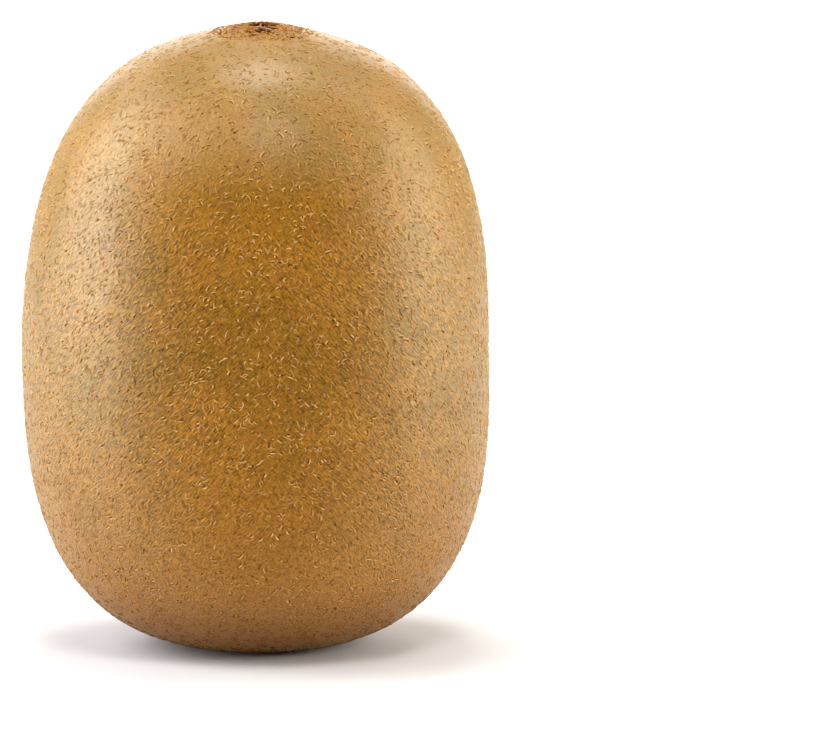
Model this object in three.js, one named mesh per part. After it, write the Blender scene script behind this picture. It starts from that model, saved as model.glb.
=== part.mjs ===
// A whole golden kiwi fruit, as picked, standing on its stem end. Millimetres, +Z up, origin at the middle
// of its base. The fruit grew as one piece, so it is one closed solid: a rounded barrel a little flatter
// front to back, with a small flat spot round the stalk pit below, and above a low beak whose scar still
// holds a ring of dried style bases.

import * as THREE from "three";

// Driving dimensions.
const WIDTH = 52; // widest, side to side
const DEPTH_SHARE = 0.965; // front to back, as a share of the width
const WAIST_HEIGHT = 32.4; // of the widest ring, above the base
const CROWN_RISE = 36.8; // from the widest ring to the crown, without the beak
const CROWN_FULLNESS = 2.55; // superellipse exponent of the upper half, where 2 is an ellipse
const FOOT_FULLNESS = 2.77; // the same for the lower half
const FOOT_RADIUS = 6.8; // of the flat spot that it stands on
const CROWN_NOD = { degrees: 4, heading: -80 }; // the crown bends to the front, a little to the right

const BEAK = { rise: 1.05, spread: 5.3 }; // the low mound at the blossom end
const STYLE_SCAR = { radius: 1.9, floor: 1.0, depth: 0.55 }; // the dry crater on top of the beak
const STYLE_BASES = { count: 16, ring: 1.35, spread: 0.42, height: 0.5 }; // woody stubs in that crater
const STALK_PIT = { radius: 3.1, depth: 1.3 }; // where the stalk came away
const STALK_SCAR = { radius: 1.1, height: 0.4 }; // the woody button in the pit
const SEPALS = { count: 5, inner: 1.3, outer: 2.9, thickness: 0.3 }; // dried flower leaves round the button

// Slow waves round the fruit that keep it from being a turned form: lobes round the girth, size,
// phase, and how far the wave turns from base to crown.
const FORM_WAVES = [
  { lobes: 1, size: 0.13, phase: -3.2, twist: 4.9 },
  { lobes: 2, size: 0.14, phase: 0.7, twist: 0.9 },
  { lobes: 3, size: 0.21, phase: 3.2, twist: -0.8 },
  { lobes: 5, size: 0.05, phase: 4.0, twist: 0.5 },
];

const GIRTH_FACES = 64;
const SIDE_RINGS = 22; // rings in each half of the side
const BEAK_START = 9; // radius inside which the crown's rings are set by radius
const CROWN_RADII = [7.6, 6.3, 5.1, 4.1, 3.3, 2.7, 2.3, 1.9, 1.6, 1.35, 1.1, 0.85, 0.5, 0];
const PIT_RADII = [0, 0.45, 0.8, 1.1, 1.4, 1.8, 2.2, 2.6, 2.9, 3.1];

const GIRTH_RADIUS = WIDTH / 2;
const SIDE_TOP = WAIST_HEIGHT + CROWN_RISE;

const smoothstep = (from, to, value) => THREE.MathUtils.smoothstep(value, from, to);

const bell = (distance, spread) => Math.exp(-((distance / spread) ** 2));

// Height over the waist of a superellipse with a given rise, as a share of that rise.
const superellipse = (radius, power) =>
  Math.max(0, 1 - (radius / GIRTH_RADIUS) ** power) ** (1 / power);

// Height of the crown at a radius: the upper superellipse, the beak on it and the crater in the beak.
function crownHeight(radius) {
  const crater = 1 - smoothstep(STYLE_SCAR.floor, STYLE_SCAR.radius, radius);
  return (
    WAIST_HEIGHT +
    CROWN_RISE * superellipse(radius, CROWN_FULLNESS) +
    BEAK.rise * bell(radius, BEAK.spread) -
    STYLE_SCAR.depth * crater
  );
}

// Height of the base inside the flat spot: a shallow pit with the button of the stalk scar in it.
function pitHeight(radius) {
  const pit = STALK_PIT.depth * (1 - (radius / STALK_PIT.radius) ** 2);
  const button = 1 - smoothstep(STALK_SCAR.radius * 0.7, STALK_SCAR.radius * 1.2, radius);
  return pit - STALK_SCAR.height * button;
}

// One half of the side as rings [radius, height], walked by an angle from the pole to the waist.
function sideRings(power, heightAt, fromRadius) {
  const start = Math.asin((fromRadius / GIRTH_RADIUS) ** (power / 2));
  return Array.from({ length: SIDE_RINGS }, (_, i) => {
    const angle = THREE.MathUtils.lerp(start, Math.PI / 2, i / SIDE_RINGS);
    const radius = GIRTH_RADIUS * Math.sin(angle) ** (2 / power);
    return [radius, heightAt(radius)];
  });
}

// The turned outline, from the middle of the stalk pit up the side to the middle of the crater.
function outline() {
  const footRise = WAIST_HEIGHT / superellipse(FOOT_RADIUS, FOOT_FULLNESS);
  const footHeight = (radius) => WAIST_HEIGHT - footRise * superellipse(radius, FOOT_FULLNESS);
  const pit = PIT_RADII.map((radius) => [radius, pitHeight(radius)]);
  const lower = sideRings(FOOT_FULLNESS, footHeight, FOOT_RADIUS);
  const upper = sideRings(CROWN_FULLNESS, crownHeight, BEAK_START);
  const crown = CROWN_RADII.map((radius) => [radius, crownHeight(radius)]);
  const waist = [[GIRTH_RADIUS, WAIST_HEIGHT]];
  return [...pit, ...lower, ...waist, ...upper.reverse(), ...crown];
}

// Relief that changes round the axis: style bases in the crater above, sepals in the pit below.
function relief(radius, angle, height) {
  if (height > WAIST_HEIGHT) {
    const spoke = Math.cos((STYLE_BASES.count * angle) / 2) ** 2;
    return STYLE_BASES.height * spoke * bell(radius - STYLE_BASES.ring, STYLE_BASES.spread);
  }
  if (radius < SEPALS.outer) {
    const leaf = Math.abs(Math.cos((SEPALS.count * angle) / 2));
    const across = smoothstep(SEPALS.inner, 2, radius) * (1 - smoothstep(2.3, SEPALS.outer, radius));
    return -SEPALS.thickness * leaf * across;
  }
  return 0;
}

// How far the side stands out or in from the turned form, from nothing at the ends to most at the waist.
function swell(angle, height) {
  const along = (height - WAIST_HEIGHT) / (SIDE_TOP / 2);
  const fade = Math.sin(Math.PI * THREE.MathUtils.clamp(height / SIDE_TOP, 0, 1));
  const waves = FORM_WAVES.map(
    ({ lobes, size, phase, twist }) => size * Math.cos(lobes * angle + phase + twist * along),
  );
  return fade * waves.reduce((sum, wave) => sum + wave, 0);
}

// Bends the upper half: each point turns about the waist towards the heading, by more the higher it is.
function nod(point) {
  const share = THREE.MathUtils.clamp((point.z - WAIST_HEIGHT) / CROWN_RISE, 0, 1);
  const heading = THREE.MathUtils.degToRad(CROWN_NOD.heading);
  const hinge = new THREE.Vector3(-Math.sin(heading), Math.cos(heading), 0);
  const waist = new THREE.Vector3(0, 0, WAIST_HEIGHT);
  const turn = THREE.MathUtils.degToRad(CROWN_NOD.degrees) * share ** 2;
  return point.sub(waist).applyAxisAngle(hinge, turn).add(waist);
}

// Moves a point of the turned form to its place on the grown fruit.
function grow(point) {
  const radius = Math.hypot(point.x, point.y);
  const angle = Math.atan2(point.y, point.x);
  const grown = radius + swell(angle, point.z) * Math.min(1, radius / BEAK_START);
  const height = point.z + relief(radius, angle, point.z);
  return nod(point.set(grown * Math.cos(angle), grown * Math.sin(angle) * DEPTH_SHARE, height));
}

function fruitGeometry() {
  const points = outline().map(([radius, height]) => new THREE.Vector2(radius, height));
  const geometry = new THREE.LatheGeometry(points, GIRTH_FACES).rotateX(Math.PI / 2);
  const position = geometry.getAttribute("position");
  const point = new THREE.Vector3();
  for (let i = 0; i < position.count; i++) {
    position.setXYZ(i, ...grow(point.fromBufferAttribute(position, i)));
  }
  geometry.computeBoundingBox();
  const middle = geometry.boundingBox.getCenter(new THREE.Vector3());
  geometry.translate(-middle.x, -middle.y, 0);
  geometry.computeVertexNormals();
  return geometry;
}

const skin = new THREE.MeshStandardMaterial({ color: 0xb07f3c, roughness: 0.55, metalness: 0 });

const kiwi = new THREE.Group();
const fruit = new THREE.Mesh(fruitGeometry(), skin);
fruit.name = "kiwi_fruit";
kiwi.add(fruit);

export default kiwi;
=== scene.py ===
"""A whole golden kiwi fruit standing on a pale studio table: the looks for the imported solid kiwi_fruit.

The skin is worked out from the same named values as the solid, so that it lies on it all over. The marks
that it carries, the dried flower parts in its two scars and the studio are pieces of their own. Sizes are in
millimetres until a mesh is made, and Blender's metres after that. +Z is up, the stem end stands on z = 0,
and -Y is the front.
"""

import math

import bpy
import numpy as np
from bpy.props import FloatProperty, FloatVectorProperty, IntProperty, PointerProperty
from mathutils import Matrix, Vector


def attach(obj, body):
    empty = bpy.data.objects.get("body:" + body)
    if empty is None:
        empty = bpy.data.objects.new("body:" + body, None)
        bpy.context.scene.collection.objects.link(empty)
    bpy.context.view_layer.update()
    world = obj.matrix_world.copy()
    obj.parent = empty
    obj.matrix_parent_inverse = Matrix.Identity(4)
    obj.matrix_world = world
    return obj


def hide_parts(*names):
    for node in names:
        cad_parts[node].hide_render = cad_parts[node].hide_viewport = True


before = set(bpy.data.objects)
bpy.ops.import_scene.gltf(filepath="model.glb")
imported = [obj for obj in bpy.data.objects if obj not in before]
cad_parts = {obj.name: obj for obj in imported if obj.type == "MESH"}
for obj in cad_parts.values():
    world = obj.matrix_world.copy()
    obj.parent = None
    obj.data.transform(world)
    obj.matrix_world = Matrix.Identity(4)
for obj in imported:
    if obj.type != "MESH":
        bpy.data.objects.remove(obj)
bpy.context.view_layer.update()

bl_info = {
    "name": "Golden Kiwi Fruit",
    "version": (1, 0, 0),
    "blender": (4, 5, 0),
    "location": "3D View > Sidebar > Kiwi",
    "description": "Grows a golden kiwi fruit with its marks and scars, and sets a small studio round it",
    "category": "Add Mesh",
}

MM = 0.001

# The form, as in the solid.
WIDTH = 52
DEPTH_SHARE = 0.965
WAIST_HEIGHT = 32.4
CROWN_RISE = 36.8
CROWN_FULLNESS = 2.55
FOOT_FULLNESS = 2.77
FOOT_RADIUS = 6.8
CROWN_NOD = {"degrees": 4, "heading": -80}
BEAK = {"rise": 1.05, "spread": 5.3}
STYLE_SCAR = {"radius": 1.9, "floor": 1.0, "depth": 0.55}
STYLE_RING = 1.35
STALK_PIT = {"radius": 3.1, "depth": 1.3}
STALK_SCAR = {"radius": 1.1, "height": 0.4}
SEPALS = {"count": 5, "inner": 1.3, "outer": 2.9}
FORM_WAVES = (
    {"lobes": 1, "size": 0.13, "phase": -3.2, "twist": 4.9},
    {"lobes": 2, "size": 0.14, "phase": 0.7, "twist": 0.9},
    {"lobes": 3, "size": 0.21, "phase": 3.2, "twist": -0.8},
    {"lobes": 5, "size": 0.05, "phase": 4.0, "twist": 0.5},
)
BEAK_START = 9
GIRTH_RADIUS = WIDTH / 2
SIDE_TOP = WAIST_HEIGHT + CROWN_RISE

# The skin's own unevenness, too slight for the solid: pairs of wave length and size.
SKIN_LUMPS = ((5.5, 0.05), (2.4, 0.028), (1.3, 0.012))
LUMP_FADE_HEIGHT = 2.5  # the skin is even below this, where it stands

SKIN_RINGS = (16, 12, 70, 40)  # in the pit, the flat spot, each half of the side and the crown
SKIN_COLUMNS = 460

# The softboxes face the fruit's middle, with sizes in metres. Each has its side, its heading from +X towards
# +Y, its elevation, its width and height, and its watts.
FRUIT_MIDDLE = Vector((0, 0, 0.035))
SOFTBOX_DISTANCE = 0.9
TALL = (0.28, 0.74)
SQUARE = (0.28, 0.28)
SOFTBOXES = (
    ("left", 140, 42, SQUARE, 0.75),
    ("left", 160, 21, TALL, 3.4),
    ("left", 180, 21, TALL, 3.0),
    ("left", 196, 53, SQUARE, 0.95),
    ("left", 190, 3, SQUARE, 1.6),
    ("left", 200, 18, TALL, 2.1),
    ("left", 220, 42, (0.28, 0.5), 0.8),
    ("right", -40, 24, SQUARE, 1.35),
    ("right", -20, 14, SQUARE, 1.8),
    ("right", -10, 3, SQUARE, 1.0),
    ("right", 0, 21, TALL, 1.9),
    ("right", 20, 21, TALL, 2.3),
    ("right", 30, 56, SQUARE, 1.0),
    ("top", 90, 72, SQUARE, 2.2),
    ("top", 90, 86, SQUARE, 0.9),
    ("top", -80, 56, SQUARE, 2.3),
    ("back", 90, 16, (0.8, 0.44), 3.5),
)
LIGHT_COLOURS = {"right": "fffaec"}  # where it isn't white
WALL_LIGHT = 0.02  # the studio's walls are nearly dark
FLOOR_RADIUS = 3000
AIM_ASIDE = 17.36  # how far to the right of the fruit's middle the camera looks
AIM_BELOW = 4.63  # and how far below it

TAU = 2 * math.pi

# The marks.
PARTING = math.radians(-85)  # heading of the line down the front where the hairs part
PARTING_BAND = 0.45  # sine of the angle from it within which both leans are mixed
MARKED = (0.085, 0.985)  # the stretch of the outline that carries marks, clear of the foot and the crater
# Rims and their cracks paint light from above over the waist and from below under it: the pale rim on the
# side away from the waist, its painted shadow on the side towards it.
WAIST_ALONG = 0.5  # share of the outline above which rims bow up, and below which they bow down
FOOT_DEPTH = 0.012  # how far a mark's edges reach under the skin
RIM_HEIGHT = 0.06  # of the dullest rim; the palest is twice as high
# A crack or a pit is a dark sliver of painted shade.
CRACK_HEIGHT = 0.03  # of a dark crack's face, so that it isn't lost in the skin
CREASE = math.radians(62)  # faces of a mark that meet at more than this have a sharp edge

# Strokes over the crown: (mm from the pole, heading in degrees) at either end, and the thickness in mm.
SCAR_CLEFTS = (
    (2.9, -106, 2.9, -80, 1.4),
    (3.4, -88, 3.5, -67, 1.25),
    (2.0, -84, 2.6, -50, 1.1),
    (1.5, 122, 1.4, 78, 0.7),
    (1.5, 48, 1.9, -14, 0.7),
    (3.2, -126, 3.6, -110, 0.5),
    (2.7, 170, 3.1, 150, 0.5),
    (4.2, -70, 4.3, -62, 0.4),
    (5.1, -53, 5.2, -46, 0.4),
    (4.1, -108, 4.2, -99, 0.4),
)
FRONT_STYLES = ((1.9, -112, 3.4, -66, 0.24), (3.6, -92, 3.4, -86, 0.2))


# --- The form ---


def smoothstep(low, high, value):
    share = np.clip((value - low) / (high - low), 0, 1)
    return share * share * (3 - 2 * share)


def superellipse(radius, power):
    """Height over the waist as a share of the rise: (1 - (radius / girth radius)^power)^(1 / power)."""
    return np.maximum(0, 1 - (radius / GIRTH_RADIUS) ** power) ** (1 / power)


def crown_height(radius):
    """The upper superellipse, plus the bell of the beak, less the crater of the style scar."""
    crater = 1 - smoothstep(STYLE_SCAR["floor"], STYLE_SCAR["radius"], radius)
    return (
        WAIST_HEIGHT
        + CROWN_RISE * superellipse(radius, CROWN_FULLNESS)
        + BEAK["rise"] * np.exp(-((radius / BEAK["spread"]) ** 2))
        - STYLE_SCAR["depth"] * crater
    )


def foot_height(radius):
    """The lower superellipse, stretched down so that it reaches z = 0 at the edge of the flat spot."""
    rise = WAIST_HEIGHT / superellipse(FOOT_RADIUS, FOOT_FULLNESS)
    return WAIST_HEIGHT - rise * superellipse(radius, FOOT_FULLNESS)


def pit_height(radius):
    """The stalk pit, a shallow paraboloid, less the button in its middle; flat outside the pit."""
    pit = STALK_PIT["depth"] * np.maximum(0, 1 - (radius / STALK_PIT["radius"]) ** 2)
    button = 1 - smoothstep(0.7 * STALK_SCAR["radius"], 1.2 * STALK_SCAR["radius"], radius)
    return pit - STALK_SCAR["height"] * button


def side_radii(power, start_radius, rings):
    """Ring radii from the start out to the waist, even steps of t in radius = girth * sin(t)^(2 / power)."""
    start = np.arcsin((start_radius / GIRTH_RADIUS) ** (power / 2))
    angle = np.linspace(start, math.pi / 2, rings, endpoint=False)
    return GIRTH_RADIUS * np.sin(angle) ** (2 / power)


def outline(pit_rings, foot_rings, side_rings, crown_rings):
    """The turned outline as radii and heights, from the pit's middle up the side to the crater's middle."""
    pit = np.linspace(0, STALK_PIT["radius"], pit_rings, endpoint=False)
    foot = np.linspace(STALK_PIT["radius"], FOOT_RADIUS, foot_rings, endpoint=False)
    lower = side_radii(FOOT_FULLNESS, FOOT_RADIUS, side_rings)
    upper = np.append(side_radii(CROWN_FULLNESS, BEAK_START, side_rings), GIRTH_RADIUS)[::-1]
    crown = np.linspace(BEAK_START, 0, crown_rings + 1)[1:]
    radius = np.concatenate([pit, foot, lower, upper, crown])
    height = np.concatenate([
        pit_height(pit), np.zeros(foot_rings), foot_height(lower), crown_height(upper), crown_height(crown)
    ])
    return radius, height


def swell(around, height):
    """Slow waves: sin(pi * height share) * the sum of size * cos(lobes * around + phase + twist * h)."""
    along = (height - WAIST_HEIGHT) / (SIDE_TOP / 2)
    fade = np.sin(math.pi * np.clip(height / SIDE_TOP, 0, 1))
    waves = sum(
        wave["size"] * np.cos(wave["lobes"] * around + wave["phase"] + wave["twist"] * along)
        for wave in FORM_WAVES
    )
    return fade * waves


def nod(points):
    """Each point turns about the waist towards the heading by degrees * (share of the crown's rise)^2."""
    share = np.clip((points[..., 2] - WAIST_HEIGHT) / CROWN_RISE, 0, 1)
    turn = math.radians(CROWN_NOD["degrees"]) * share[..., None] ** 2
    heading = math.radians(CROWN_NOD["heading"])
    hinge = np.array([-math.sin(heading), math.cos(heading), 0])
    arm = points - (0, 0, WAIST_HEIGHT)
    across = np.cross(hinge, arm)
    kept = hinge * (arm @ hinge)[..., None] * (1 - np.cos(turn))
    return arm * np.cos(turn) + across * np.sin(turn) + kept + (0, 0, WAIST_HEIGHT)


def lattice_noise(points, wave_length, seed):
    """Smooth noise from -1 to 1: random values on a cubic lattice, eased between by smoothstep each way."""
    side = 32
    values = np.random.default_rng(seed).uniform(-1, 1, (side, side, side))
    place = points / wave_length + side
    cell = np.floor(place).astype(int)
    ease = place - cell
    ease = ease * ease * (3 - 2 * ease)
    total = np.zeros(points.shape[:-1])
    for corner in np.ndindex(2, 2, 2):
        index = (cell + corner) % side
        weight = np.where(np.array(corner) == 1, ease, 1 - ease).prod(axis=-1)
        total += weight * values[index[..., 0], index[..., 1], index[..., 2]]
    return total


# The outline as fine arrays, so that a place on the skin is (along, around): the share of the outline's
# length from the stalk pit to the crater, and the angle round the axis.
PROFILE_RADIUS, PROFILE_HEIGHT = outline(200, 100, 900, 400)
PROFILE_STEPS = np.hypot(np.diff(PROFILE_RADIUS), np.diff(PROFILE_HEIGHT))
PROFILE_LENGTH = PROFILE_STEPS.sum()
PROFILE_ALONG = np.append(0, np.cumsum(PROFILE_STEPS)) / PROFILE_LENGTH


def profile_along(radius, upper):
    """The share of the outline's length at which the crown's half, or the foot's half, has that radius."""
    half = PROFILE_HEIGHT > WAIST_HEIGHT if upper else PROFILE_HEIGHT < WAIST_HEIGHT
    order = np.argsort(PROFILE_RADIUS[half])
    return np.interp(radius, PROFILE_RADIUS[half][order], PROFILE_ALONG[half][order])


def turned_place(along, around):
    radius = np.interp(along, PROFILE_ALONG, PROFILE_RADIUS)
    height = np.interp(along, PROFILE_ALONG, PROFILE_HEIGHT)
    spread = radius + swell(around, height) * np.minimum(1, radius / BEAK_START)
    return nod(np.stack([spread * np.cos(around), spread * np.sin(around) * DEPTH_SHARE, height], axis=-1))


def form_middle():
    """The middle of the form's box from above, which the solid puts on the axis."""
    along, around = np.meshgrid(np.linspace(0, 1, 400), np.linspace(0, TAU, 256, endpoint=False))
    points = turned_place(along, around).reshape(-1, 3)
    return (points.min(axis=0) + points.max(axis=0)) / 2 * (1, 1, 0)


FORM_MIDDLE = form_middle()


def skin_axes(along, around):
    """Unit vectors at places on the skin: round the fruit, up it, and outward as their cross product."""
    step = 0.05 / PROFILE_LENGTH  # a twentieth of a millimetre either way, for the slope
    up = turned_place(along + step, around) - turned_place(along - step, around)
    side = np.stack([-np.sin(around), np.cos(around) * DEPTH_SHARE, np.zeros_like(around)], axis=-1)
    outward = np.cross(side, up)
    return [way / np.linalg.norm(way, axis=-1, keepdims=True) for way in (side, up, outward)]


def skin_place(along, around, lift=0.0):
    """A point on the skin: the turned outline, swollen, flattened and nodded, plus its lumps and a lift."""
    along, around = np.broadcast_arrays(np.asarray(along, float), np.asarray(around, float))
    place = turned_place(along, around)
    lumps = sum(
        size * lattice_noise(place, wave_length, seed)
        for seed, (wave_length, size) in enumerate(SKIN_LUMPS)
    )
    lumps = lumps * smoothstep(0, LUMP_FADE_HEIGHT, place[..., 2])
    return place - FORM_MIDDLE + skin_axes(along, around)[2] * (lumps + lift)[..., None]


# --- Meshes ---


def make_object(name, points, faces, shares=None, crease=None):
    """A smooth mesh object from points in millimetres and arrays of faces, each array with its own number of
    corners. shares are named arrays of one value for each point, and faces that meet at more than crease
    have a sharp edge."""
    mesh = bpy.data.meshes.new(name)
    corners = np.concatenate([block.ravel() for block in faces])
    sizes = np.concatenate([np.full(len(block), block.shape[1]) for block in faces])
    mesh.vertices.add(len(points))
    mesh.vertices.foreach_set("co", (np.asarray(points) * MM).astype(np.float32).ravel())
    mesh.loops.add(len(corners))
    mesh.loops.foreach_set("vertex_index", corners.astype(np.int32))
    mesh.polygons.add(len(sizes))
    mesh.polygons.foreach_set("loop_start", (np.cumsum(sizes) - sizes).astype(np.int32))
    for share, values in (shares or {}).items():
        layer = mesh.attributes.new(share, "FLOAT", "POINT")
        layer.data.foreach_set("value", np.asarray(values, np.float32).ravel())
    mesh.update(calc_edges=True)
    mesh.validate()
    mesh.shade_smooth()
    if crease is not None:
        mesh.set_sharp_from_angle(angle=crease)
    piece = bpy.data.objects.new(name, mesh)
    bpy.context.scene.collection.objects.link(piece)
    return piece


def finish_piece(piece, material, replaces=None):
    """The piece gets its material, rides on the one body, and hides the part of the solid that it stands for,
    if any.
    """
    piece.data.materials.append(material)
    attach(piece, "root")
    if replaces:
        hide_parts(replaces)
    return piece


def tube_faces(count, rings, sides):
    """Faces of count closed tubes of rings with sides corners each, and a tip point before and after them.
    Each tube's points are its first tip, its rings in order, and its last tip."""
    column = np.arange(sides)
    turned = (column + 1) % sides
    ring = 1 + np.arange(rings - 1)[:, None] * sides
    quads = np.stack([ring + column, ring + turned, ring + sides + turned, ring + sides + column], axis=-1)
    last = 1 + (rings - 1) * sides
    start = np.stack([np.zeros(sides, int), turned + 1, column + 1], axis=-1)
    end = np.stack([last + column, last + turned, np.full(sides, last + sides)], axis=-1)
    first = np.arange(count)[:, None, None] * (rings * sides + 2)
    tips = np.concatenate([start, end])
    return [(quads.reshape(-1, 4) + first).reshape(-1, 4), (tips + first).reshape(-1, 3)]


def throw(count, rng, low=MARKED[0], high=MARKED[1]):
    """Places thrown evenly over the skin's area between two shares of the outline: (along, around)."""
    area = np.append(0, np.cumsum(PROFILE_STEPS * (PROFILE_RADIUS[1:] + PROFILE_RADIUS[:-1])))
    bottom, top = np.interp([low, high], PROFILE_ALONG, area)
    along = np.interp(rng.uniform(bottom, top, count), area, PROFILE_ALONG)
    return along, rng.uniform(0, TAU, count)


def slivers(along, around, heading, bend, length, width, height, rings=3, across=(-1, 0, 1)):
    """Low pointed ridges on the skin. Each runs along an arc in it: at a share t of its length, from -1/2 to
    1/2, it points heading + bend * t away from the way up, so its middle line is the running sum of
    (sin, cos) of that angle. Rings between two tips cross it at the given shares of its half width, high in
    the middle as height * (1 - share^2), and with both edges just under the skin."""
    substeps = 4
    fine = np.linspace(-0.5, 0.5, substeps * (rings + 1) + 1)
    angle = heading[:, None] + bend[:, None] * fine
    steps = np.stack([np.sin(angle), np.cos(angle)], axis=-1) * (length / (len(fine) - 1))[:, None, None]
    path = np.cumsum(steps, axis=1)
    path = (path - path.mean(axis=1, keepdims=True))[:, ::substeps]
    share = fine[::substeps]
    turn = heading[:, None] + bend[:, None] * share
    beside = np.stack([np.cos(turn), -np.sin(turn)], axis=-1)
    taper = np.sqrt(np.maximum(0, 1 - (2 * share) ** 2))
    across = np.array(across)
    half = width[:, None] / 2 * taper
    spots = path[:, :, None] + beside[:, :, None] * half[:, :, None, None] * across[:, None]
    crest = height[:, None, None] * taper[:, None] * (1 - across**2)
    lift = np.where(np.abs(across) == 1, -FOOT_DEPTH, crest)
    radius = np.maximum(0.4, np.interp(along, PROFILE_ALONG, PROFILE_RADIUS))
    places = skin_place(
        along[:, None, None] + spots[..., 1] / PROFILE_LENGTH,
        around[:, None, None] + spots[..., 0] / radius[:, None, None],
        lift,
    )
    body = places[:, 1:-1].reshape(len(along), rings * len(across), 3)
    middle = len(across) // 2
    points = np.concatenate([places[:, :1, middle], body, places[:, -1:, middle]], axis=1)
    return points.reshape(-1, 3), tube_faces(len(along), rings, len(across))


def pebbles(along, around, radius, height):
    """Lumps half sunk in the skin, each an ellipsoid of two rings of six between two poles: a point at
    latitude v and angle a is (cos v cos a, cos v sin a) * radius along it and sin v * height outward."""
    sides = 6
    latitude = np.radians([-25, 30])
    turn = np.arange(sides) * TAU / sides
    ring = np.stack([np.cos(turn), np.sin(turn)], axis=-1) * np.cos(latitude)[:, None, None]
    flat = np.concatenate([np.zeros((1, 2)), ring.reshape(-1, 2), np.zeros((1, 2))])
    rise = np.concatenate([[-1], np.repeat(np.sin(latitude), sides), [1]])
    side, up, outward = (way[:, None] for way in skin_axes(along, around))
    spread = (flat[:, :1] * side + flat[:, 1:] * up) * radius[:, None, None]
    points = skin_place(along, around)[:, None] + spread + outward * (rise * height[:, None])[..., None]
    return points.reshape(-1, 3), tube_faces(len(along), len(latitude), sides)


def strands(paths, thickness, sides=5):
    """Closed tubes along paths, each ring of which stands square to its path: at angle a a ring's point is
    path + thickness / 2 * (cos a * beside + sin a * over). The paths' ends are the tips."""
    tangent = np.gradient(paths, axis=1)
    tangent /= np.linalg.norm(tangent, axis=-1, keepdims=True)
    beside = np.cross(tangent, (0.31, 0.17, 0.94))
    beside /= np.linalg.norm(beside, axis=-1, keepdims=True)
    over = np.cross(tangent, beside)
    turn = np.arange(sides) * TAU / sides
    ring = np.cos(turn)[:, None] * beside[:, 1:-1, None] + np.sin(turn)[:, None] * over[:, 1:-1, None]
    body = paths[:, 1:-1, None] + ring * (thickness[:, 1:-1] / 2)[..., None, None]
    count, rings = body.shape[:2]
    body = body.reshape(count, rings * sides, 3)
    points = np.concatenate([paths[:, :1], body, paths[:, -1:]], axis=1)
    return points.reshape(-1, 3), tube_faces(count, rings, sides)


def crown_strokes(strokes):
    """The two ends of each stroke as complex numbers, seen from above, and its thickness."""
    start_out, start_heading, end_out, end_heading, thickness = np.array(strokes, dtype=float).T
    start = start_out * np.exp(1j * np.radians(start_heading))
    return start, end_out * np.exp(1j * np.radians(end_heading)), thickness


def shifted(along, around, heading, aside):
    """Places moved along the skin square to their heading, to its right where aside is positive."""
    radius = np.maximum(0.4, np.interp(along, PROFILE_ALONG, PROFILE_RADIUS))
    return along - np.sin(heading) * aside / PROFILE_LENGTH, around + np.cos(heading) * aside / radius


def mark_headings(around, rng, lean, spread, stray):
    """Headings of marks off the way up. The hairs part down the front and down the back, so that marks on
    either side lean in to the parting, and within a band of it both ways; a stray share lies anyhow."""
    count = len(around)
    from_parting = np.sin(around - PARTING)
    inward = rng.random(count) < 0.5 + 0.5 * np.clip(from_parting / PARTING_BAND, -1, 1)
    leaning = np.where(inward, -1, 1) * rng.normal(lean, spread, count)
    return np.where(rng.random(count) < stray, rng.uniform(-math.pi / 2, math.pi / 2, count), leaning)


# --- Materials ---

# Settings of nodes. Map Range takes a value, the two ends of its range, and what it gives at each.
SMOOTH = {"interpolation_type": "SMOOTHSTEP"}
TIMES = {"operation": "MULTIPLY"}
TIMES_PLUS = {"operation": "MULTIPLY_ADD"}
RGBA = {"data_type": "RGBA"}


def linear(code):
    """An sRGB hex colour such as "c08a45" as a linear colour with full alpha."""
    shares = [int(code[i : i + 2], 16) / 255 for i in (0, 2, 4)]
    return tuple(s / 12.92 if s <= 0.04045 else ((s + 0.055) / 1.055) ** 2.4 for s in shares) + (1.0,)


def add(tree, kind, inputs=(), settings=None):
    """Adds a node of a kind, its type without ShaderNode, with its inputs, in order or by name or number, and
    its settings. A socket is linked, a node by its first output, and anything else is set."""
    node = tree.nodes.new("ShaderNode" + kind)
    for name, value in (settings or {}).items():
        setattr(node, name, value)
    for name, value in inputs.items() if isinstance(inputs, dict) else enumerate(inputs):
        if isinstance(value, bpy.types.Node):
            value = value.outputs[0]
        if isinstance(value, bpy.types.NodeSocket):
            tree.links.new(value, node.inputs[name])
        else:
            node.inputs[name].default_value = value
    return node


def new_material(name):
    """An empty node material, its tree, and the object's coordinates in it."""
    material = bpy.data.materials.new(name)
    material.use_nodes = True
    tree = material.node_tree
    tree.nodes.clear()
    return material, tree, add(tree, "TexCoord").outputs["Object"]


def per_metre(millimetres):
    """The noise scale that gives features of that size on coordinates in metres."""
    return 1 / (millimetres * MM)


def cork_and_contact_shade(tree, height):
    """How far the colour turns to the stalk end's dark brown, by height over the table: the cork under the
    stalk end's shoulder, and painted shade where the fruit meets the table.
    """
    return add(tree, "MapRange", (height, 11 * MM, -1 * MM, 0.0, 1.0), SMOOTH)


def bare_share(tree, height):
    """How much of the wax shows: the stubs of the hairs hide it where it is seen square on, and bare it
    where it is seen aslant and on the worn upper shoulders. Towards the stalk end it is duller."""
    facing = add(tree, "LayerWeight").outputs["Facing"]
    aslant = add(tree, "MapRange", (facing, 0.0, 0.35, 0.12, 1.0), SMOOTH)
    clean = add(tree, "MapRange", (height, -12 * MM, 40 * MM, 0.05, 1.0), SMOOTH)
    worn = add(tree, "MapRange", (height, 50 * MM, 60 * MM, 0.0, 0.8), SMOOTH)
    bared = add(tree, "Math", (aslant, worn), {"operation": "MAXIMUM"})
    return add(tree, "Math", (bared, clean), TIMES)


def wax_sockets(tree, look, bare):
    """What the wax gives a shader where a share of it is bare: the rind's own gloss, and a coat over it."""
    gloss, wax = (add(tree, "Math", (bare, most), TIMES) for most in (look.rind_gloss, look.wax))
    return {
        "IOR": look.ior,
        "Specular IOR Level": gloss,
        "Specular Tint": look.fuzz_tint,
        "Coat Weight": wax,
        "Coat Roughness": look.roughness,
        "Coat IOR": look.ior,
    }


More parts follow.
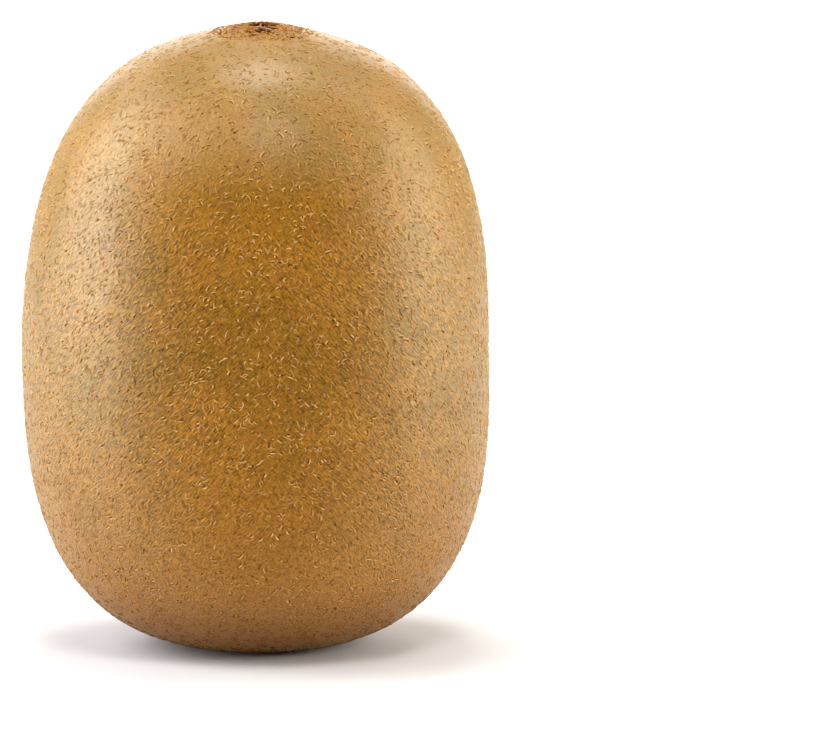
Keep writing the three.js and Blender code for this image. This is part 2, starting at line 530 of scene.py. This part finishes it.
def hatch(tree, place, height, turn, look):
    """Noise drawn out along helices that climb the fruit one way: the prints of hairs that lay on it."""
    angle = add(tree, "Math", (height, turn / (GIRTH_RADIUS * MM)), TIMES)
    untwisted = add(tree, "VectorRotate", {"Vector": place, "Angle": angle}, {"rotation_type": "Z_AXIS"})
    drawn = add(tree, "VectorMath", (untwisted, (1, 1, 1 / look.hatch_stretch)), TIMES)
    scale = per_metre(look.hatch_size / MM)
    return add(tree, "TexNoise", {"Vector": drawn, "Scale": scale, "Detail": 0.0})


def skin_material(look):
    """Golden kiwi skin: a dry corky rind under its own wax, which the packing brushes have polished. The
    rind gives a bronze body colour that turns olive and russet in patches, and a grain of dead cells and
    hairs' prints, with painted shade in its creases and painted light on its crests. The wax follows the
    grain less, and gives a silky highlight."""
    material, tree, place = new_material("corky_kiwi_rind")
    sideways, _, height = add(tree, "SeparateXYZ", (place,)).outputs

    # Body colour: gold, in patches olive and russet, redder towards the foot, and dark brown towards the
    # stalk end, which is both its cork and painted shade where the fruit meets the table.
    patches = {"Vector": place, "Scale": per_metre(1.6), "Detail": 3.0, "Roughness": 0.6}
    russet_share = add(tree, "MapRange", (add(tree, "TexNoise", patches), 0.42, 0.68, 0.0, 0.75))
    clouds = {"Vector": place, "Scale": per_metre(9), "Detail": 2.0}
    olive_share = add(tree, "MapRange", (add(tree, "TexNoise", clouds), 0.4, 0.62, 0.0, 0.9))
    foot_share = add(tree, "MapRange", (height, 32 * MM, 2 * MM, 0.0, 1.0))
    body = add(tree, "Mix", {0: olive_share, 6: look.gold, 7: look.olive}, RGBA).outputs[2]
    body = add(tree, "Mix", {0: russet_share, 6: body, 7: look.russet}, RGBA).outputs[2]
    body = add(tree, "Mix", {0: foot_share, 6: body, 7: look.foot}, RGBA).outputs[2]
    body = add(tree, "Mix", {0: cork_and_contact_shade(tree, height), 6: body, 7: look.cork_and_shade_colour}, RGBA).outputs[2]

    # Grain: real cells are a tenth as wide as these specks, which are the finest that show. The prints of
    # hairs climb to the parting from either side.
    cells = {"Vector": place, "Scale": per_metre(look.speck_size / MM), "Detail": 1.5, "Roughness": 0.6}
    specks = add(tree, "TexNoise", cells)
    right_share = add(tree, "MapRange", (sideways, -11 * MM, 14 * MM, 0.0, 1.0))
    rising, falling = (hatch(tree, place, height, turn, look) for turn in (-1, 1))
    hatched = add(tree, "Mix", {0: right_share, 2: rising, 3: falling}, {"data_type": "FLOAT"})
    relief = add(tree, "Math", (specks, 0.9, add(tree, "Math", (hatched, 1.1), TIMES)), TIMES_PLUS)

    # The brushes have worn the grain down on the upper shoulders, and a little round the foot.
    shoulder_grain = add(tree, "MapRange", (height, 42 * MM, 62 * MM, 1.0, 0.55), SMOOTH)
    foot_grain = add(tree, "MapRange", (height, 2 * MM, 28 * MM, 0.68, 1.0), SMOOTH)
    grain = add(tree, "Math", (shoulder_grain, foot_grain), TIMES)
    # Painted shade: the body colour is darkened in the grain's creases and lightened on its crests, by the
    # same relief that the bump follows.
    painted_crease_swing = add(tree, "MapRange", (relief, 0.75, 1.25, -look.painted_shade_contrast, look.painted_shade_contrast))
    shade = add(tree, "Math", (painted_crease_swing, grain, 1.0), TIMES_PLUS)
    shaded = add(tree, "VectorMath", {0: body, "Scale": shade}, {"operation": "SCALE"})

    # The style scar: a dark crater where the styles dried, ragged and russet round it.
    crown = tuple(skin_place(1.0, 0.0) * MM)
    from_crown = add(tree, "VectorMath", (place, crown), {"operation": "DISTANCE"}).outputs["Value"]
    ragged = add(tree, "Math", (specks, 2.2 * MM, from_crown), TIMES_PLUS)
    halo = add(tree, "MapRange", (ragged, 3.6 * MM, 7.6 * MM, 0.85, 0.0), SMOOTH)
    crater = add(tree, "MapRange", (ragged, 2.4 * MM, 3.4 * MM, 1.0, 0.0), SMOOTH)
    ringed = add(tree, "Mix", {0: halo, 6: shaded, 7: look.scar_russet}, RGBA).outputs[2]
    coloured = add(tree, "Mix", {0: crater, 6: ringed, 7: look.scar_brown}, RGBA).outputs[2]

    # The gloss is cut down in the creases, a painted shade of their reflections, and there is hardly any wax
    # on the scar.
    on_crests = add(tree, "MapRange", (relief, 0.75, 1.05, 0.8, 1.0))
    off_scar = add(tree, "MapRange", (from_crown, 2.4 * MM, 5 * MM, 0.05, 1.0), SMOOTH)
    bared = add(tree, "Math", (on_crests, bare_share(tree, height)), TIMES)
    bump = {"Height": relief, "Distance": look.grain_depth}
    shader = add(tree, "BsdfPrincipled", {
        "Base Color": coloured,
        "Roughness": 0.5,
        "Normal": add(tree, "Bump", bump | {"Strength": grain}),
        "Coat Normal": add(tree, "Bump", bump | {"Strength": look.wax_relief}),
        "Sheen Weight": add(tree, "Math", (off_scar, look.fuzz), TIMES),
        "Sheen Roughness": 0.4,
        "Sheen Tint": look.fuzz_tint,
    } | wax_sockets(tree, look, add(tree, "Math", (bared, off_scar), TIMES)))
    add(tree, "OutputMaterial", (shader,))
    return material


def mark_material(name, marks, kind, roughness, waxed=False):
    """Dead cells of a mark on the skin, between two colours by the mark's own tone, darker towards the
    stalk end with its cork and with painted shade where the fruit meets the table. A waxed mark has the
    rind's own gloss, so that it melts into the rind in a highlight."""
    material, tree, place = new_material(name)
    look = bpy.context.scene.kiwi_skin_look
    height = add(tree, "SeparateXYZ", (place,)).outputs["Z"]
    tone = add(tree, "Attribute", settings={"attribute_name": "tone"}).outputs["Fac"]
    light, dark = getattr(marks, kind + "_light"), getattr(marks, kind + "_dark")
    colour = add(tree, "Mix", {0: tone, 6: dark, 7: light}, RGBA).outputs[2]
    # Painted shade: darker towards the table, together with the stalk end's cork.
    darkened_by_cork_and_shade = add(tree, "Mix", {0: cork_and_contact_shade(tree, height), 6: colour, 7: look.cork_and_shade_colour}, RGBA).outputs[2]
    sockets = {"Base Color": darkened_by_cork_and_shade, "Roughness": roughness, "IOR": 1.1}
    if waxed:
        sockets |= wax_sockets(tree, look, bare_share(tree, height))
    add(tree, "OutputMaterial", (add(tree, "BsdfPrincipled", sockets),))
    return material


def woody_material(name, light, dark, grain_mm, ior=1.45):
    """Dried flower parts: dead woody tissue, matt and streaky, with painted shade making it nearly black in
    its folds: the same streaks set its bump and its colour.
    """
    material, tree, place = new_material(name)
    grain = {"Vector": place, "Scale": per_metre(grain_mm), "Detail": 4.0, "Roughness": 0.65}
    streaks = add(tree, "TexNoise", grain)
    share = add(tree, "MapRange", (streaks, 0.35, 0.65, 0.0, 1.0))
    shader = add(tree, "BsdfPrincipled", {
        "Base Color": add(tree, "Mix", {0: share, 6: linear(dark), 7: linear(light)}, RGBA).outputs[2],
        "Roughness": 0.8,
        "Normal": add(tree, "Bump", {"Height": streaks, "Distance": 0.06 * MM, "Strength": 1.0}),
        "IOR": ior,
    })
    add(tree, "OutputMaterial", (shader,))
    return material


def floor_material(look):
    """The table's matt white laminate, with a faint fine tooth."""
    material, tree, place = new_material("matt_white_laminate")
    tooth = add(tree, "TexNoise", {"Vector": place, "Scale": per_metre(1.5), "Detail": 3.0})
    shader = add(tree, "BsdfPrincipled", {
        "Base Color": look.floor_colour,
        "Roughness": 0.9,
        "Normal": add(tree, "Bump", {"Height": tooth, "Distance": 0.01 * MM, "Strength": 0.3}),
        "IOR": 1.3,
    })
    add(tree, "OutputMaterial", (shader,))
    return material


# --- Properties ---

FACTOR = {"subtype": "FACTOR", "min": 0, "max": 1}
LENGTH = {"subtype": "DISTANCE", "unit": "LENGTH", "min": 0, "precision": 6}


def paint(name, description, code):
    """A colour to choose, from an sRGB hex code."""
    return FloatVectorProperty(
        name=name, description=description, default=linear(code), subtype="COLOR", size=4, min=0, max=1
    )


class KiwiSkinLook(bpy.types.PropertyGroup):
    """Colours and finish of the rind."""

    gold: paint("Gold", "Main body colour of the rind", "9a681a")
    olive: paint("Olive", "Greener patches, a centimetre across", "82590c")
    russet: paint("Russet", "Redder patches, a few millimetres across", "945d1e")
    foot: paint("Foot", "What the rind turns to towards the foot", "98601c")
    # Cork at the stalk end, and painted shade where the fruit meets the table.
    cork_and_shade_colour: paint("Stalk end", "Rind under the stalk end's shoulder", "642e02")
    scar_russet: paint("Scar russet", "Ring round the style scar", "965e1c")
    scar_brown: paint("Scar brown", "Floor of the style scar", "4a2408")
    fuzz_tint: paint("Fuzz tint", "Sheen of the finest hairs", "ffe080")
    fuzz: FloatProperty(
        name="Fuzz", description="Strength of the sheen of the finest hairs", default=0.2, **FACTOR
    )
    roughness: FloatProperty(name="Roughness", description="Of the polished rind", default=0.38, **FACTOR)
    ior: FloatProperty(
        name="IOR", description="Refractive index of the waxy rind", default=1.75, min=1, max=2
    )
    wax: FloatProperty(name="Wax", description="Strength of the wax's own gloss", default=0.65, **FACTOR)
    wax_relief: FloatProperty(
        name="Wax relief", description="Share of the grain that the wax follows", default=0.13, **FACTOR
    )
    rind_gloss: FloatProperty(
        name="Rind gloss", description="Gloss of the rind itself", default=0.92, **FACTOR
    )
    hatch_size: FloatProperty(
        name="Hatch size", description="Across a print of a hair in the grain", default=0.14 * MM, **LENGTH
    )
    hatch_stretch: FloatProperty(
        name="Hatch stretch", description="Length of a hair's print over its width", default=3.6, min=1
    )
    speck_size: FloatProperty(
        name="Speck size", description="Across a fleck of the finest grain", default=0.2 * MM, **LENGTH
    )
    grain_depth: FloatProperty(
        name="Grain depth", description="Depth that the grain seems to have", default=0.155 * MM, **LENGTH
    )
    # How strongly the grain's creases carry painted shade and its crests painted light.
    painted_shade_contrast: FloatProperty(
        name="Grain contrast", description="Share by which its creases darken", default=0.62, **FACTOR
    )


class KiwiMarks(bpy.types.PropertyGroup):
    """Numbers and colours of the marks that the rind carries."""

    papillae: IntProperty(name="Papillae", description="Low swellings of the rind", default=4500, min=1)
    papilla_height: FloatProperty(
        name="Papilla height", description="Of a middling papilla", default=0.075 * MM, **LENGTH
    )
    rims: IntProperty(name="Rims", description="Lifted edges of cracked rind", default=8500, min=1)
    rings: IntProperty(name="Rings", description="Rims arched over a papilla", default=900, min=1)
    fibres: IntProperty(name="Fibres", description="Stubs of hairs on the rind", default=7000, min=1)
    pits: IntProperty(name="Pits", description="Dark pits and slits in the rind", default=3600, min=1)
    scurf: IntProperty(name="Scurf", description="Corky grains at the two ends", default=2200, min=1)
    # The rims' pale colour paints the highlight on their edges.
    rim_light: paint("Light rim", "Palest rims", "e4b470")
    rim_dark: paint("Dark rim", "Rims that hardly show", "a06e2a")
    fibre_light: paint("Light fibre", "Palest fibres", "d2a05a")
    fibre_dark: paint("Dark fibre", "Fibres that hardly show", "986828")
    # The dark of pits and cracks is painted shade.
    pit_light: paint("Light pit", "Pits that hardly show", "8e6014")
    pit_dark: paint("Dark pit", "Darkest pits", "4c2a04")
    scurf_light: paint("Light scurf", "Palest grains", "d29c58")
    scurf_dark: paint("Dark scurf", "Darkest grains", "6e3c0e")


class KiwiStudio(bpy.types.PropertyGroup):
    """The table, the lights and the camera."""

    floor_colour: paint("Floor", "Colour of the table", "f2f4f8")
    elevation: FloatProperty(
        name="Elevation",
        description="How far the camera looks down",
        default=math.radians(8.5),
        subtype="ANGLE",
        unit="ROTATION",
    )
    distance: FloatProperty(
        name="Distance", description="From the camera to the middle of the fruit", default=0.9, **LENGTH
    )
    view_width: FloatProperty(
        name="View width", description="Width of the picture at the fruit", default=0.092, **LENGTH
    )


# --- Operators ---


class KIWI_OT_skin(bpy.types.Operator):
    """Grow the rind over the solid"""

    bl_idname = "kiwi.skin"
    bl_label = "Skin"

    def execute(self, context):
        radius, height = outline(*SKIN_RINGS)
        steps = np.hypot(np.diff(radius), np.diff(height))
        rows = np.append(0, np.cumsum(steps) / steps.sum())[1:-1]
        around = math.pi / 2 + np.arange(SKIN_COLUMNS) * TAU / SKIN_COLUMNS  # the seam is at the back
        body = skin_place(rows[:, None], around)
        ends = skin_place([0, 1], 0)
        points = np.concatenate([ends[:1], body.reshape(-1, 3), ends[1:]])
        piece = make_object("kiwi_skin", points, tube_faces(1, len(rows), SKIN_COLUMNS))
        finish_piece(piece, skin_material(context.scene.kiwi_skin_look), "kiwi_fruit")
        return {"FINISHED"}


class KIWI_OT_marks(bpy.types.Operator):
    """Lay the papillae, rims, fibres, pits, scurf and rings on the rind"""

    bl_idname = "kiwi.marks"
    bl_label = "Marks"

    def execute(self, context):
        look = context.scene.kiwi_marks
        makers = (self.papillae, self.rims, self.fibres, self.pits, self.scurf, self.rings)
        for seed, make in enumerate(makers, 11):
            make(look, np.random.default_rng(seed))
        return {"FINISHED"}

    @staticmethod
    def lay(name, shape, tone, material):
        """One piece of many marks, each with its own tone."""
        points, faces = shape
        shares = {"tone": np.repeat(tone, len(points) // len(tone))}
        finish_piece(make_object(name, points, faces, shares, CREASE), material)

    @staticmethod
    def standout_tone(along, around, beta, rng):
        """How far each mark stands out from the rind: most round the middle, less towards either end, and
        more in some patches of three millimetres than in others. On rims and rings it sets how pale their
        painted highlight is, and their cracks' painted shadow is the darker for it."""
        clump = 1.1 + 0.95 * lattice_noise(turned_place(along, around), 3.0, 7)
        fade = (0.2 + 0.8 * smoothstep(0.12, 0.42, along)) * (1 - 0.6 * smoothstep(0.74, 0.92, along))
        return np.clip(rng.beta(*beta, len(along)) * clump * fade, 0, 1)

    @classmethod
    def papillae(cls, look, rng):
        """Low swellings of the rind, where hairs stood: short ridges lying any way, some bent to arches."""
        count = look.papillae
        along, around = throw(count, rng)
        heading = rng.uniform(-math.pi / 2, math.pi / 2, count)
        bend = rng.normal(0, 0.7, count)
        length = np.clip(rng.lognormal(math.log(0.85), 0.35, count), 0.5, 1.6)
        width = np.clip(rng.normal(0.46, 0.08, count), 0.3, 0.65)
        tone = rng.beta(1.5, 1.5, count)
        height = look.papilla_height / MM * (0.4 + 0.8 * tone) * (1 - 0.45 * smoothstep(0.6, 0.9, along))
        shape = slivers(along, around, heading, bend, length, width, height, 3, (-1, -0.35, 0.35, 1))
        rind = bpy.data.materials.get("corky_kiwi_rind") or skin_material(bpy.context.scene.kiwi_skin_look)
        cls.lay("skin_papillae", shape, tone, rind)

    @classmethod
    def rims(cls, look, rng):
        """Lifted edges of cracked rind, bowed away from the waist: each is painted pale as a highlight on its
        outer edge, with a dark crack inside it that is a painted shadow.
        """
        count = look.rims
        along, around = throw(count, rng)
        heading = mark_headings(around, rng, math.radians(52), math.radians(22), 0.2)
        outward = np.where(along > WAIST_ALONG, 1, -1) * np.sign(heading)
        bend = outward * np.abs(rng.normal(1.0, 0.6, count))
        length = np.clip(rng.lognormal(math.log(0.54), 0.3, count), 0.3, 1.1)
        width = rng.uniform(0.12, 0.19, count)
        tone = cls.standout_tone(along, around, (1.2, 1.7), rng)
        shape = slivers(along, around, heading, bend, length, width, RIM_HEIGHT * (1 + tone))
        cls.lay("rind_rims", shape, tone, mark_material("lifted_rind_painted_highlight", look, "rim", 0.5, True))
        # Painted shadow: a dark crack laid on the rim's side towards the waist, darker where the rim is
        # paler.
        inner = shifted(along, around, heading, outward * rng.uniform(0.15, 0.21, count))
        shape = slivers(*inner, heading, bend, 0.85 * length, width, np.full(count, CRACK_HEIGHT))
        cls.lay("rind_painted_shadow_cracks", shape, 1 - tone, mark_material("cracked_rind_painted_shadow", look, "pit", 1.0))

    @classmethod
    def rings(cls, look, rng):
        """Rims arched over a papilla, open towards the waist, painted pale as a highlight, with a dark crack
        inside them that is a painted shadow.
        """
        count = look.rings
        along, around = throw(count, rng)
        heading = np.where(along > WAIST_ALONG, 1, -1) * math.pi / 2 + rng.normal(0, 0.5, count)
        bend = rng.uniform(2.0, 3.8, count)
        radius = rng.uniform(0.24, 0.38, count)
        width = rng.uniform(0.12, 0.17, count)
        tone = cls.standout_tone(along, around, (1.4, 1.8), rng)
        shape = slivers(along, around, heading, bend, bend * radius, width, RIM_HEIGHT * (1 + tone), 7)
        cls.lay("papilla_rings", shape, tone, mark_material("lifted_ring_painted_highlight", look, "rim", 0.5, True))
        # Painted shadow: the dark crack inside the arch.
        inner = bend * (radius - 0.14)
        shape = slivers(along, around, heading, bend, inner, width, np.full(count, CRACK_HEIGHT), 7)
        cls.lay("ring_painted_shadow_cracks", shape, 1 - tone, mark_material("ring_painted_shadow_crack", look, "pit", 1.0))

    @classmethod
    def fibres(cls, look, rng):
        """Stubs of broken hairs, lying flat on the rind."""
        count = look.fibres
        along, around = throw(count, rng)
        heading = mark_headings(around, rng, math.radians(44), math.radians(18), 0.25)
        bend = rng.normal(0, 0.5, count)
        length = np.clip(rng.lognormal(math.log(0.62), 0.35, count), 0.3, 1.3)
        width = rng.uniform(0.09, 0.13, count)
        tone = cls.standout_tone(along, around, (1.6, 1.8), rng)
        shape = slivers(along, around, heading, bend, length, width, 0.04 + 0.04 * tone)
        cls.lay("skin_fibres", shape, tone, mark_material("hair_stubs", look, "fibre", 0.5, True))

    @classmethod
    def pits(cls, look, rng):
        """Slits and pores where hairs have broken out: low dark slivers whose dark paints the shade inside
        them.
        """
        count = look.pits
        along, around = throw(count, rng)
        heading = mark_headings(around, rng, math.radians(44), math.radians(16), 0.2)
        bend = rng.normal(0, 0.4, count)
        length = np.clip(rng.lognormal(math.log(0.46), 0.42, count), 0.25, 1.3)
        width = rng.uniform(0.16, 0.24, count)
        tone = rng.beta(1.1, 1.8, count)
        shape = slivers(along, around, heading, bend, length, width, np.full(count, CRACK_HEIGHT))
        cls.lay("skin_pits_painted_shade", shape, tone, mark_material("open_pits_painted_shade", look, "pit", 1.0))

    @classmethod
    def scurf(cls, look, rng):
        """Corky grains: crowded round the style scar, thinner over the foot."""
        crowded = int(look.scurf * 0.4)
        round_scar = throw(crowded, rng, profile_along(5.6, upper=True), profile_along(1.6, upper=True))
        over_foot = throw(look.scurf - crowded, rng, 0.09, 0.3)
        radius = rng.uniform(0.08, 0.15, look.scurf)
        tone = rng.random(look.scurf)
        places = np.hstack([round_scar, over_foot])
        shape = pebbles(*places, radius, radius * rng.uniform(0.5, 0.8, look.scurf))
        cls.lay("corky_scurf", shape, tone, mark_material("corky_scurf", look, "scurf", 0.8))


class KIWI_OT_scars(bpy.types.Operator):
    """Put the dried flower parts in the two scars"""

    bl_idname = "kiwi.scars"
    bl_label = "Scars"

    def execute(self, context):
        self.styles(woody_material("dried_styles", "e2b488", "6e3c14", 0.35), np.random.default_rng(31))
        # The clefts' dark colour is painted shade.
        self.clefts(woody_material("cleft_shade_painted", "5c2c0a", "2a1002", 0.3, 1.1))
        self.sepals(woody_material("dried_sepals", "8a5c34", "40210c", 0.3))
        self.stalk_scar(woody_material("woody_stalk_scar", "7a4f2c", "2c1608", 0.2))
        return {"FINISHED"}

    @staticmethod
    def styles(material, rng):
        """Shrivelled styles lying in and over the crater. At a share t each runs from its root on the ring
        towards the axis and past it, as root * (1 - reach * t), humped by sin(pi * t) and turned aside. Two
        longer ones lie over the front of the ring."""
        count = 20
        share = np.linspace(0, 1, 8)
        root = np.arange(count) * TAU / count + rng.normal(0, 0.12, count)
        start = STYLE_RING * rng.uniform(0.6, 1.2, count)
        reach = rng.uniform(0.4, 1.3, count)
        aside = rng.normal(0, 0.9, count)
        radius = start[:, None] * (1 - reach[:, None] * share)
        angle = root[:, None] + aside[:, None] * share * 0.6
        hump = rng.uniform(0.0, 0.08, count)[:, None] * np.sin(math.pi * share)
        around = np.where(radius < 0, angle + math.pi, angle)
        paths = skin_place(profile_along(np.abs(radius), upper=True), around, hump)
        thickness = rng.uniform(0.16, 0.28, count)[:, None] * (1 - 0.5 * share)
        start, end, width = crown_strokes(FRONT_STYLES)
        plan = start[:, None] + (end - start)[:, None] * share
        front = skin_place(profile_along(np.abs(plan), upper=True), np.angle(plan), 0.1)
        tapered = width[:, None] * (0.5 + 0.5 * np.sin(math.pi * share))
        shape = strands(np.concatenate([paths, front]), np.concatenate([thickness, tapered]))
        finish_piece(make_object("dried_styles", *shape), material)

    @staticmethod
    def clefts(material):
        """Dark clefts round the ring of styles, where the crust of the scar has parted: pointed slits that
        lie nearly flat, whose dark colour paints the shade inside the clefts."""
        start, end, width = crown_strokes(SCAR_CLEFTS)
        middle = (start + end) / 2
        along = profile_along(np.abs(middle), upper=True)
        heading = math.pi - np.angle((end - start) / middle)
        flat = np.zeros(len(width))
        across = (-1, -0.6, -0.2, 0.2, 0.6, 1)
        shape = slivers(
            along, np.angle(middle), heading, flat, np.abs(end - start), width, flat + 0.06, 7, across
        )
        finish_piece(make_object("scar_clefts", *shape), material)

    @staticmethod
    def sepals(material):
        """Five dried leaves lying in the stalk pit, pointing out from the button."""
        count = SEPALS["count"]
        along = np.full(count, profile_along((SEPALS["inner"] + SEPALS["outer"]) / 2, upper=False))
        around = np.arange(count) * TAU / count
        flat = np.zeros(count)
        length = flat + SEPALS["outer"] - SEPALS["inner"]
        shape = slivers(along, around, flat, flat, length, flat + 1.5, flat + 0.22, 9, np.linspace(-1, 1, 9))
        finish_piece(make_object("dried_sepals", *shape), material)

    @staticmethod
    def stalk_scar(material):
        """The woody button in the pit: a low dome with eleven ridges, rim * (1 + 0.08 cos(11 a)) round."""
        sides, rings, rise = 66, 8, 0.62
        turn = np.arange(sides) * TAU / sides
        share = np.linspace(1, 0, rings, endpoint=False)[:, None]
        ridge = 1 + 0.08 * np.cos(11 * turn)
        radius = STALK_SCAR["radius"] * share * ridge
        ceiling = STALK_PIT["depth"] - 0.05
        dome = ceiling - rise * np.sqrt(np.maximum(0, 1 - share**2)) * (0.9 + 0.1 * ridge)
        ring = np.stack([radius * np.cos(turn), -radius * np.sin(turn), dome], axis=-1)
        points = np.concatenate([[(0, 0, ceiling)], ring.reshape(-1, 3), [(0, 0, ceiling - rise)]])
        finish_piece(make_object("stalk_scar", points - FORM_MIDDLE, tube_faces(1, rings, sides)), material)


class KIWI_OT_studio(bpy.types.Operator):
    """Set the table, the lights and the camera"""

    bl_idname = "kiwi.studio"
    bl_label = "Studio"

    def execute(self, context):
        look = context.scene.kiwi_studio
        self.floor(look)
        self.lights()
        self.camera(context.scene, look)
        context.scene.view_settings.view_transform = "Standard"
        return {"FINISHED"}

    @staticmethod
    def floor(look):
        """A round table top, a disc of one ring of faces round its middle."""
        corners = 96
        angle = np.arange(corners) * TAU / corners
        rim = FLOOR_RADIUS * np.stack([np.cos(angle), np.sin(angle), np.zeros(corners)], axis=-1)
        index = np.arange(corners)
        fan = np.stack([np.full(corners, corners), index, (index + 1) % corners], axis=-1)
        floor = make_object("table_top", np.vstack([rim, np.zeros(3)]), [fan])
        floor.data.materials.append(floor_material(look))

    @staticmethod
    def lights():
        """Softboxes facing the fruit from all round but the front, and walls that are nearly dark."""
        for side, heading, elevation, size, power in SOFTBOXES:
            data = bpy.data.lights.new(side + "_softbox", "AREA")
            data.shape = "RECTANGLE"
            data.size, data.size_y = size
            data.energy = power
            data.color = linear(LIGHT_COLOURS.get(side, "ffffff"))[:3]
            lamp = bpy.data.objects.new(data.name, data)
            turn, tilt = math.radians(heading), math.radians(elevation)
            away = Vector((math.cos(tilt) * math.cos(turn), math.cos(tilt) * math.sin(turn), math.sin(tilt)))
            lamp.location = FRUIT_MIDDLE + SOFTBOX_DISTANCE * away
            lamp.rotation_euler = away.to_track_quat("Z", "Y").to_euler()
            lamp.visible_camera = False
            bpy.context.scene.collection.objects.link(lamp)
        world = bpy.data.worlds.new("studio_walls")
        world.use_nodes = True
        tree = world.node_tree
        tree.nodes.clear()
        add(tree, "OutputWorld", (add(tree, "Background", (linear("ffffff"), WALL_LIGHT)),))
        bpy.context.scene.world = world

    @staticmethod
    def camera(scene, look):
        """Looks along +Y and down by the elevation, at a point to the right of the fruit and a little below
        its middle, so that the fruit stands left of the middle of the picture."""
        data = bpy.data.cameras.new("camera")
        data.lens = data.sensor_width * look.distance / look.view_width
        lens = bpy.data.objects.new("camera", data)
        away = Vector((0, -math.cos(look.elevation), math.sin(look.elevation)))
        up = Vector((0, math.sin(look.elevation), math.cos(look.elevation)))
        lens.location = FRUIT_MIDDLE + look.distance * away
        aim = FRUIT_MIDDLE + Vector((AIM_ASIDE * MM, 0, 0)) - AIM_BELOW * MM * up
        lens.rotation_euler = (lens.location - aim).to_track_quat("Z", "Y").to_euler()
        scene.collection.objects.link(lens)
        scene.camera = lens


class KIWI_PT_panel(bpy.types.Panel):
    """The fruit's parts and the studio"""

    bl_idname = "KIWI_PT_panel"
    bl_label = "Golden Kiwi Fruit"
    bl_space_type = "VIEW_3D"
    bl_region_type = "UI"
    bl_category = "Kiwi"

    def draw(self, context):
        for operator in OPERATORS:
            self.layout.operator(operator.bl_idname)
        for group in GROUPS:
            box = self.layout.box()
            settings = getattr(context.scene, group)
            for name in settings.bl_rna.properties.keys():
                if name not in ("rna_type", "name"):
                    box.prop(settings, name)


GROUPS = {"kiwi_skin_look": KiwiSkinLook, "kiwi_marks": KiwiMarks, "kiwi_studio": KiwiStudio}
OPERATORS = (KIWI_OT_skin, KIWI_OT_marks, KIWI_OT_scars, KIWI_OT_studio)
CLASSES = (*GROUPS.values(), *OPERATORS, KIWI_PT_panel)


def register():
    for cls in CLASSES:
        bpy.utils.register_class(cls)
    for name, group in GROUPS.items():
        setattr(bpy.types.Scene, name, PointerProperty(type=group))


def unregister():
    for name in GROUPS:
        delattr(bpy.types.Scene, name)
    for cls in reversed(CLASSES):
        bpy.utils.unregister_class(cls)


def main():
    register()
    bpy.ops.kiwi.skin()
    bpy.ops.kiwi.marks()
    bpy.ops.kiwi.scars()
    bpy.ops.kiwi.studio()


if __name__ == "__main__":
    main()
